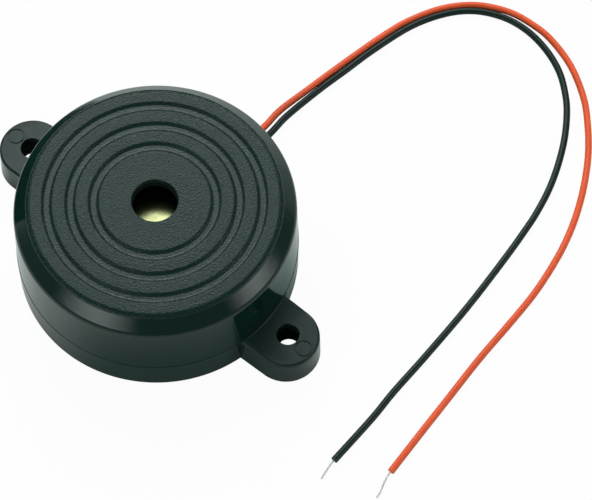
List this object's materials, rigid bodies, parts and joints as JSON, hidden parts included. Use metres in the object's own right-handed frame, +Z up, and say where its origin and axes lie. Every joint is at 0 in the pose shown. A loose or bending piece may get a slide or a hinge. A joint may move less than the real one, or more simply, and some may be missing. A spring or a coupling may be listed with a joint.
{
  "type": "piezo buzzer",
  "caption": "Round black piezo buzzer with side mounting lugs, ring grooves round a central sound hole, and a red and a black flying lead with stripped ends.",
  "frame": {"origin": "centre of the case on the surface that it stands on", "axes": "+Z up along the case's axis, towards the sound hole; +X through both lug holes; the leads leave the wall at +Y"},
  "size_m": [0.0823, 0.0925, 0.0183],
  "materials": {
    "case_black": "black ABS, glossy wall and lugs, fine spark-eroded grain on the top face",
    "cover_black": "black ABS, plain satin moulding",
    "brass": "rolled brass, satin",
    "ceramic": "unglazed fired ceramic, pale buff",
    "silver": "fired silver paste, matt",
    "silicone": "soft white silicone",
    "solder": "bright tin solder",
    "fine_wire_black": "thin black insulated wire",
    "fine_wire_red": "thin red insulated wire",
    "fine_wire_blue": "thin blue insulated wire",
    "board": "brown paper-phenolic board",
    "copper": "bare copper",
    "epoxy_black": "black moulded epoxy",
    "tinned_wire": "tinned copper, softly bright",
    "resistor_coat": "beige lacquer",
    "diode_glass": "orange glass body, taken as opaque",
    "ferrite": "dark grey ferrite",
    "sealant": "black sealant",
    "insulation_red": "orange-red PVC, satin",
    "insulation_black": "black PVC, satin"
  },
  "bodies": {
    "root": {"housing": "case_black", "back_cover": "cover_black", "diaphragm_plate": "brass", "piezo_ceramic": "ceramic", "main_electrode": "silver", "feedback_electrode": "silver", "diaphragm_seal": "silicone", "diaphragm_solder": "solder", "plate_wire": "fine_wire_black", "electrode_wire": "fine_wire_red", "feedback_wire": "fine_wire_blue", "circuit_board": "board", "copper_tracks": "copper", "solder_joints": "solder", "transistor": "epoxy_black", "transistor_legs": "tinned_wire", "resistor_1": "resistor_coat", "resistor_2": "resistor_coat", "resistor_3": "resistor_coat", "resistor_1_wires": "tinned_wire", "resistor_2_wires": "tinned_wire", "resistor_3_wires": "tinned_wire", "diode": "diode_glass", "diode_wires": "tinned_wire", "choke_core": "ferrite", "choke_winding": "copper", "choke_pins": "tinned_wire", "lead_seal": "sealant", "red_lead": "insulation_red", "black_lead": "insulation_black", "red_conductor": "tinned_wire", "black_conductor": "tinned_wire"}
  },
  "joints": []
}
